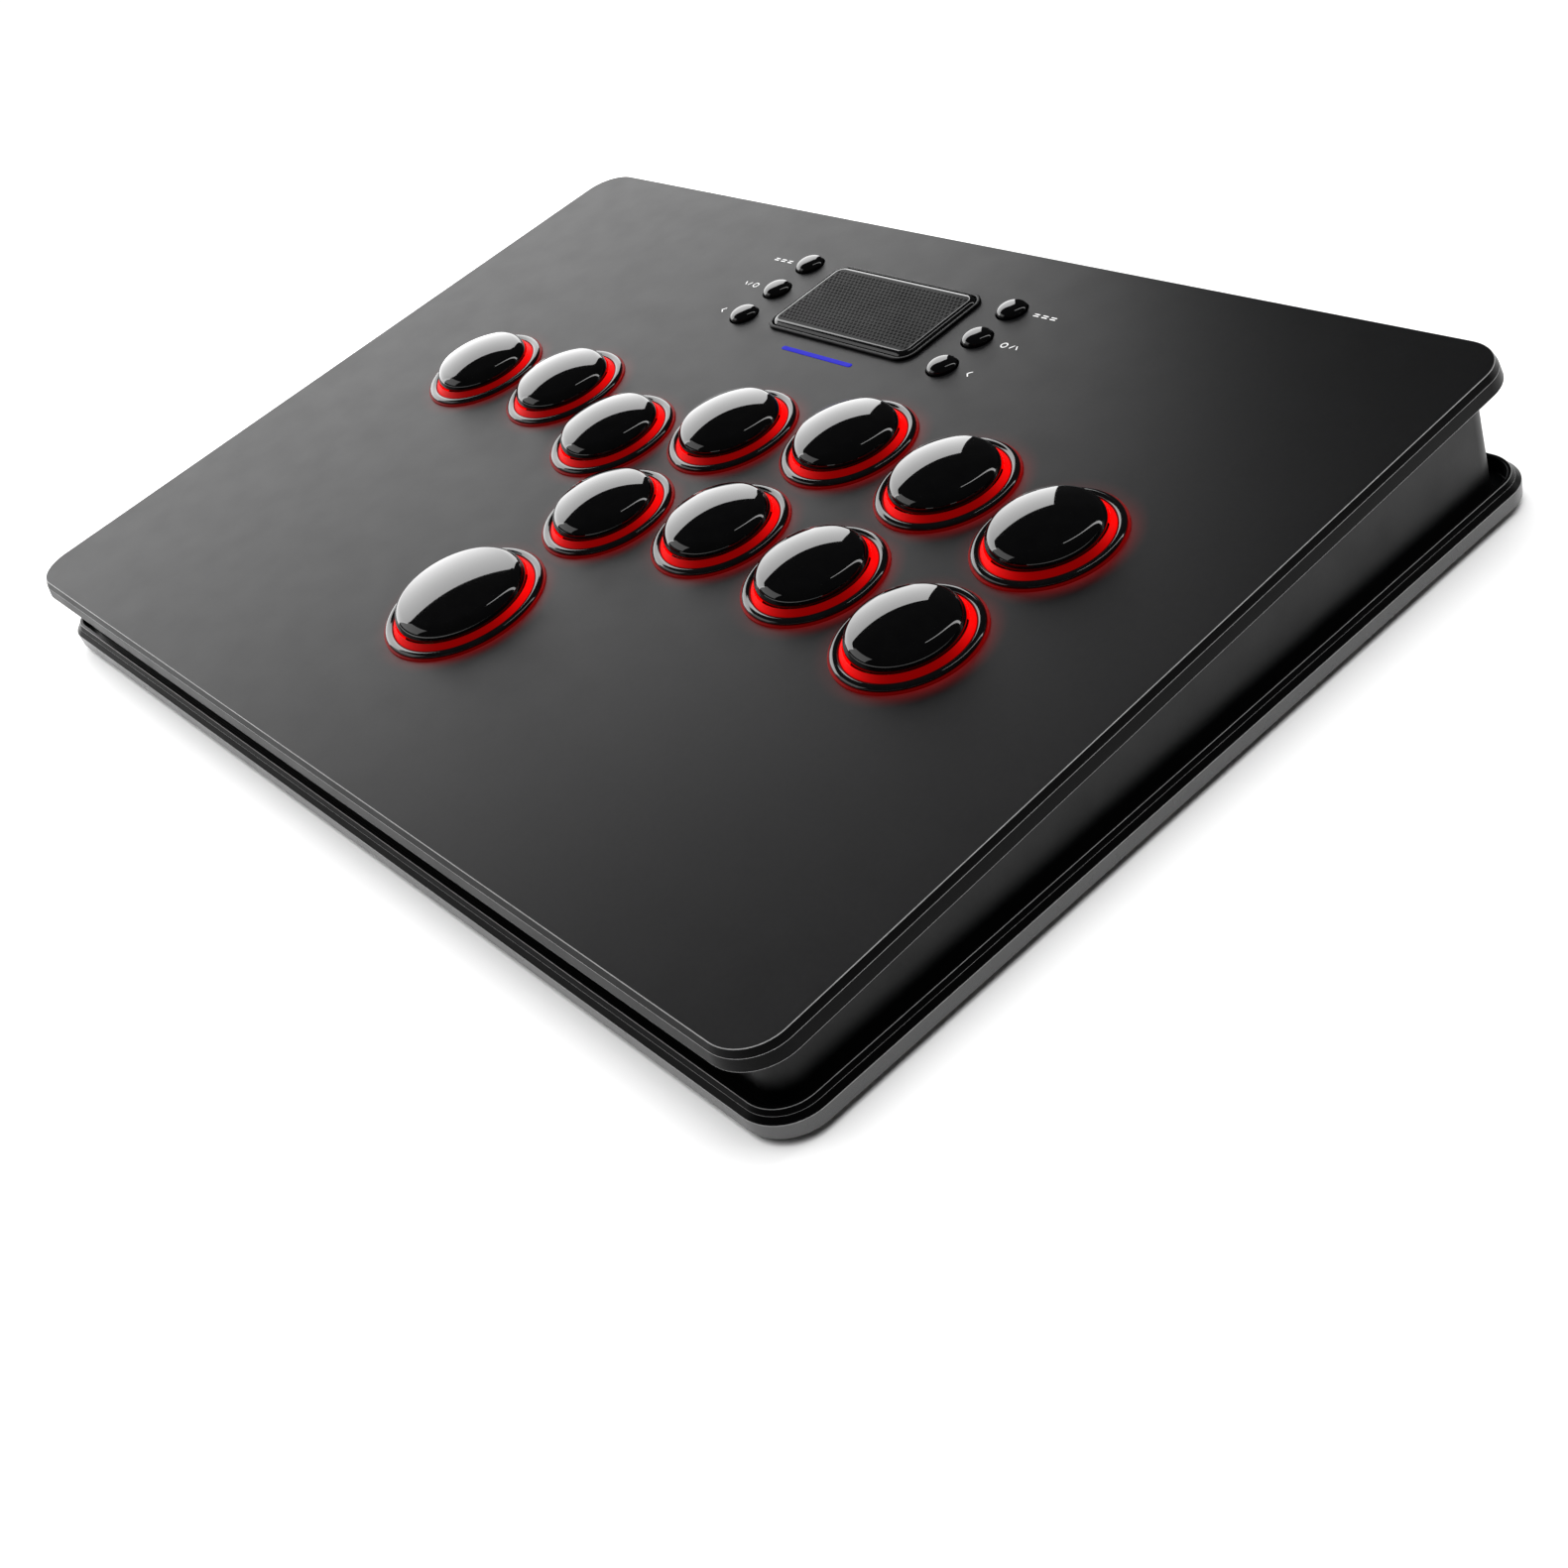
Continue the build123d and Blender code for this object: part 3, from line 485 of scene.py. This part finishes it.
def make_base():
    bm = bmesh.new()
    profile = rounded([(6, 2.0), (0, 2.0, 0.2), (0, 5.3, 0.25), (1.1, 6.4, 0.3), (1.8, 7.4, 0.16),
                       (2.6, 7.4, 0.16), (2.6, 3.8, 0.4), (12, 3.8)])
    rings = ring_stack(bm, profile, BASE_SIZE, 10.1, BASE_CENTRE, least=2.0, grow=-1)
    # The rolled rim edges get the painted edge highlight; the slopes, rim top and trough get the darker
    # painted shade black.
    edges = (*range(7, 12), *range(13, 18), *range(19, 24))
    for k, (one, two) in enumerate(zip(rings, rings[1:])):
        bridge(bm, one, two, 1 if k in edges else 2 if k >= 12 else 0)
    fill(bm, [rings[-1]])
    loops = [rings[0]]
    for place in SCREWS:
        mouth = ring_of(bm, circle(place, 3.3, 32), BASE_UNDERSIDE)
        lip = ring_of(bm, circle(place, 3.1, 32), 2.2)
        seat = ring_of(bm, circle(place, 3.1, 32), 3.0)
        bridge(bm, lip, mouth)
        bridge(bm, seat, lip)
        fill(bm, [seat], up=False)
        loops.append(mouth)
    fill(bm, loops, up=False)
    piece("base", bm, base_black, replaces=["base_tray"], matrix=WORLD_MM,
          more=(painted_edge_highlight, painted_shade_black))


def make_feet():
    bm = bmesh.new()
    profile = rounded([(0, 0.25), (4, 0.25, 0.1), (4.2, 0.05, 0.1), (4.6, 0.0, 0.1), (5.6, 0.0, 0.1),
                       (5.9, 0.25, 0.1), (6.4, 0.25, 0.1), (6.7, 0.0, 0.1), (9.4, 0.0, 0.3),
                       (10, 0.6, 0.3), (10, 2.5)], 3)
    for place in FEET:
        lathe(bm, profile, place, 64)
    piece("feet", bm, foot_rubber, replaces=["rubber_feet"], matrix=WORLD_MM)


make_base()
make_feet()


# ------------------------------------------------------------------ large buttons
def cap_profile(radius, shoulder=3.0):
    """Wide crown arc that rolls into a tight shoulder arc, then a short skirt."""
    equator, top = 2.4, 7.0
    reach, rise = radius - shoulder, top - equator
    crown = (reach ** 2 + rise ** 2 - shoulder ** 2) / (2 * (rise - shoulder))
    edge = math.asin(reach / (crown - shoulder))
    points = [(crown * math.sin(edge * k / 24), top - crown * (1 - math.cos(edge * k / 24)))
              for k in range(25)]
    for k in range(1, 17):
        t = edge + (math.pi / 2 - edge) * k / 16
        points.append((reach + shoulder * math.sin(t), equator + shoulder * math.cos(t)))
    points += [(radius - 0.06, 2.12), (radius - 0.25, 1.88), (radius - 0.5, 1.8), (radius - 1.3, 1.8),
               (radius - 1.35, 2.6), (radius - 3.3, 4.6), (3.8, 4.6)]
    return points


def make_buttons():
    for name, place in BUTTONS.items():
        bm = bmesh.new()
        lathe(bm, cap_profile(cap_radius(name)), place, 128)
        piece(f"cap_{name}", bm, cap_gloss, body=f"button_{name}",
              replaces=[f"button_cap_{name}"], sharp=50)


def side_lamps(x, y):
    """Share of full glow round a collar: bright left and right, dim in front and behind."""
    reach = math.hypot(x, y)
    along = (x * 0.6 + y * 0.8) / reach
    return min(1.0, max(0.0, along ** 4 * 1.2))


def make_bezels():
    bm = bmesh.new()
    for name, place in BUTTONS.items():
        inner = hole_radius(name)
        crown = [(inner + 1.0 - math.cos(math.pi * k / 20), 0.6 + 0.7 * math.sin(math.pi * k / 20))
                 for k in range(21)]
        profile = [(inner, 0.4), *crown, (inner + 2.0, 0.4)]
        lathe(bm, profile, place, 128)
    piece("bezels", bm, gloss_black, replaces=["bezel_rings"], sharp=50)


def make_collars():
    bm = bmesh.new()
    for name, place in BUTTONS.items():
        inner = cap_radius(name) + 0.3
        outer = inner + 1.1
        flange = outer + 1.6
        profile = rounded([(outer, PLATE_UNDERSIDE), (outer, 0.8, 0.15), (inner, 2.3, 0.12), (inner, -3.1),
                           (flange, -3.1), (flange, PLATE_UNDERSIDE), (outer, PLATE_UNDERSIDE)], 3)
        lathe(bm, profile, place, 128, side_lamps)
    piece("collars", bm, red_glow, replaces=["light_collars"])


def make_gaskets():
    bm = bmesh.new()
    for name, place in BUTTONS.items():
        inner = hole_radius(name)
        outer = inner + 2.5
        profile = rounded([(inner, 0.4), (outer, 0.4, 0.15), (outer, 0.0)], 4)
        lathe(bm, profile, place, 128, side_lamps)
    piece("gaskets", bm, red_gasket, replaces=["glow_gaskets"])


make_buttons()
make_bezels()
make_collars()
make_gaskets()


# ------------------------------------------------------------------ option buttons
def make_options():
    for name, place in OPTIONS.items():
        bm = bmesh.new()
        points = []
        for k in range(17):
            t = math.radians(90 - 90 * k / 16)
            radius = OPTION_RADIUS * max(0.0, math.cos(t)) ** 0.8 if k else 0.0
            points.append((radius, 0.4 + 1.5 * math.sin(t)))
        points += [(OPTION_RADIUS, -2.5), (4.6, -2.5), (4.6, -3.4), (1.6, -3.4), (1.6, -4.7), (0, -4.7)]
        lathe(bm, points, place, 64)
        piece(f"option_{name}", bm, cap_gloss, body=f"option_{name}",
              replaces=[f"option_button_{name}"], sharp=50)


make_options()


# ------------------------------------------------------------------ touchpad
def make_pad():
    bm = bmesh.new()
    profile = rounded([(0, -2.5), (0, PAD_TOP, 1.45), (4, PAD_TOP)], 10)
    rings = ring_stack(bm, profile, PAD_SIZE, 3.2, PAD_CENTRE, least=0.6, grow=-1)
    for k, (one, two) in enumerate(zip(rings, rings[1:])):
        bridge(bm, one, two, 0 if k < len(rings) - 2 else 1)
    before = set(bm.faces)
    fill(bm, [rings[-1]])
    for f in set(bm.faces) - before:
        f.material_index = 1
    piece("pad", bm, gloss_black, body="touchpad", replaces=["touchpad_plate"],
          more=(pad_black,), sharp=50)
    # Staggered dimples cover the flat field up to its rolled edge; they are nearly flat, and their darker
    # material is painted shade.
    bm = bmesh.new()
    pitch = 1.3
    rise = pitch * 0.866
    margin = 1.9
    dimple = [(0.44, 1.3), (0.4, 1.325), (0.22, 1.315), (0, 1.31)]
    for j in range(-10, 11):
        for i in range(-18, 19):
            x = (i + 0.5 * (j % 2)) * pitch
            y = j * rise
            if abs(x) > PAD_SIZE[0] / 2 - margin or abs(y) > PAD_SIZE[1] / 2 - margin:
                continue
            lathe(bm, dimple, (x, PAD_CENTRE[1] + y), 10)
    piece("pad_dots", bm, dimple_painted_shade, body="touchpad", sharp=60)


def make_pad_frame():
    bm = bmesh.new()
    profile = rounded([(0, 0.0), (0, 0.7, 0.12), (0.8, 0.7, 0.3), (0.8, 0.0)], 5)
    rings = ring_stack(bm, profile, FRAME_SIZE, FRAME_CORNER, PAD_CENTRE)
    for k, (one, two) in enumerate(zip(rings, rings[1:])):
        # The inner rolled edge gets the dim painted highlight, and the rest of the frame the darker painted
        # shade black.
        bridge(bm, one, two, 1 if 1 <= k < 6 else 0)
    piece("pad_frame", bm, painted_shade_black, replaces=["touchpad_frame"], more=(painted_dim_edge_highlight,))


def make_status_light():
    bm = bmesh.new()
    profile = rounded([(0, PLATE_UNDERSIDE), (0, 0.1, 0.08), (0.5, 0.1)], 3)
    rings = [ring_of(bm, slot_outline(25.4 - 2 * p.x, 1.3 - 2 * p.x, LIGHT_CENTRE), p.y) for p in profile]
    for one, two in zip(rings, rings[1:]):
        bridge(bm, one, two)
    fill(bm, [rings[-1]])
    piece("light_bar", bm, blue_glow, replaces=["status_light"])


make_pad()
make_pad_frame()
make_status_light()


# ------------------------------------------------------------------ printed marks
def mark_bar(bm, centre, length, width, angle=0.0):
    turn = Matrix.Rotation(math.radians(angle), 2)
    loop = [Vector(centre) + turn @ p for p in outline(length, width, width / 2 - 0.001, (0, 0), 5)]
    top = ring_of(bm, loop, MARK_HEIGHT)
    bridge(bm, ring_of(bm, loop, 0.0), top)
    fill(bm, [top])


def mark_ring(bm, centre, radius, width):
    outer = ring_of(bm, circle(centre, radius, 40), MARK_HEIGHT)
    inner = ring_of(bm, circle(centre, radius - width, 40), MARK_HEIGHT)
    bridge(bm, outer, inner)


def make_marks():
    bm = bmesh.new()
    for row, y in enumerate(OPTION_ROWS):
        for side in (-1, 1):
            x = side * 46.5  # just outside the option buttons
            if row == 0:
                for step in (-2.6, 0, 2.6):
                    mark_bar(bm, (x + step, y), 1.7, 0.3)
                    mark_bar(bm, (x + step, y + side * 0.7), 1.7, 0.3)
            elif row == 1:
                mark_ring(bm, (x - side * 1.5, y), 0.95, 0.28)
                mark_bar(bm, (x + side * 0.9, y), 1.5, 0.28, 60)
                mark_bar(bm, (x + side * 2.4, y), 1.5, 0.28, -60)
            else:
                mark_bar(bm, (x - side * 1.6, y + 0.4), 1.5, 0.28, 45)
                mark_bar(bm, (x - side * 1.6, y - 0.4), 1.5, 0.28, -45)
    piece("marks", bm, mark_white, sharp=60)


make_marks()

# ------------------------------------------------------------------ CAD nodes kept as they are
# The springs are among them. Nothing shortens them, so at a press they reach through their stems.
slot_of = {s["node"]: s["material_slot"] for s in frame["record"]["subparts"]}
for name, obj in frame["nodes"].items():
    obj.data.materials.clear()
    obj.data.materials.append(SLOTS[slot_of[name]])

# ------------------------------------------------------------------ stage, light and camera
def make_floor():
    mesh = bpy.data.meshes.new("floor")
    mesh.from_pydata([(-30, -30, 0), (30, -30, 0), (30, 30, 0), (-30, 30, 0)], [], [(0, 1, 2, 3)])
    floor = bpy.data.objects.new("floor", mesh)
    bpy.context.scene.collection.objects.link(floor)
    mat, tree, bsdf = new_material("floor_pale")
    bsdf.inputs["Base Color"].default_value = (0.86, 0.86, 0.86, 1)
    bsdf.inputs["Roughness"].default_value = 0.9
    bsdf.inputs["Specular IOR Level"].default_value = 0.1
    mesh.materials.append(mat)


def softbox(name, place, target, size, power, colour=(1, 1, 1), glossy=True, diffuse=True):
    lamp = bpy.data.lights.new(name, "AREA")
    lamp.shape = "RECTANGLE"
    lamp.size, lamp.size_y = size
    lamp.energy = power
    lamp.color = colour
    obj = bpy.data.objects.new(name, lamp)
    obj.location = place
    obj.rotation_mode = "QUATERNION"
    obj.rotation_quaternion = (Vector(target) - Vector(place)).to_track_quat("-Z", "Y")
    obj.visible_camera = False
    obj.visible_glossy = glossy
    obj.visible_diffuse = diffuse
    bpy.context.scene.collection.objects.link(obj)
    return obj


make_floor()
# Softbox standing close beyond the far left edge: it draws the bright caps and the panel's grey fall-off.
softbox("far_softbox", (-0.425, 0.072, 0.19), (0.495, -0.318, 0.19), (0.7, 0.37), 3.0)
# Dimmer boxes at the front left and the back right draw the thin lines along the edges and rims, on top of
# the highlight painted into the edge material.
softbox("left_softbox", (-0.9, -0.8, 0.55), (0, 0, 0), (1.0, 0.75), 2.6)
softbox("right_softbox", (0.4, 0.9, 0.8), (0, 0, 0), (0.12, 2.2), 3.6)
# Overhead fill that lights the floor and bodies but stays out of reflections.
softbox("overhead", (0.0, 0.0, 2.2), (0, 0, 0), (2.6, 2.6), 98.0, glossy=False)

world = bpy.data.worlds.new("studio")
world.use_nodes = True
world.node_tree.nodes["Background"].inputs["Color"].default_value = (1, 1, 1, 1)
world.node_tree.nodes["Background"].inputs["Strength"].default_value = 0.03
bpy.context.scene.world = world
bpy.context.scene.view_settings.view_transform = "Standard"

camera_data = bpy.data.cameras.new("camera")
camera = bpy.data.objects.new("camera", camera_data)
bpy.context.scene.collection.objects.link(camera)
right = Vector((0.6273, 0.7248, -0.2847)).normalized()
ahead = Vector((-0.7069, 0.3765, -0.5988)).normalized()
up = right.cross(ahead).normalized()
right = ahead.cross(up).normalized()
turn = Matrix((right, up, -ahead)).transposed().to_4x4()
camera.matrix_world = Matrix.Translation((0.3616, -0.1914, 0.2404)) @ turn
camera_data.sensor_width = 36.0
camera_data.lens = 45.77
camera_data.clip_start = 0.01
bpy.context.scene.camera = camera
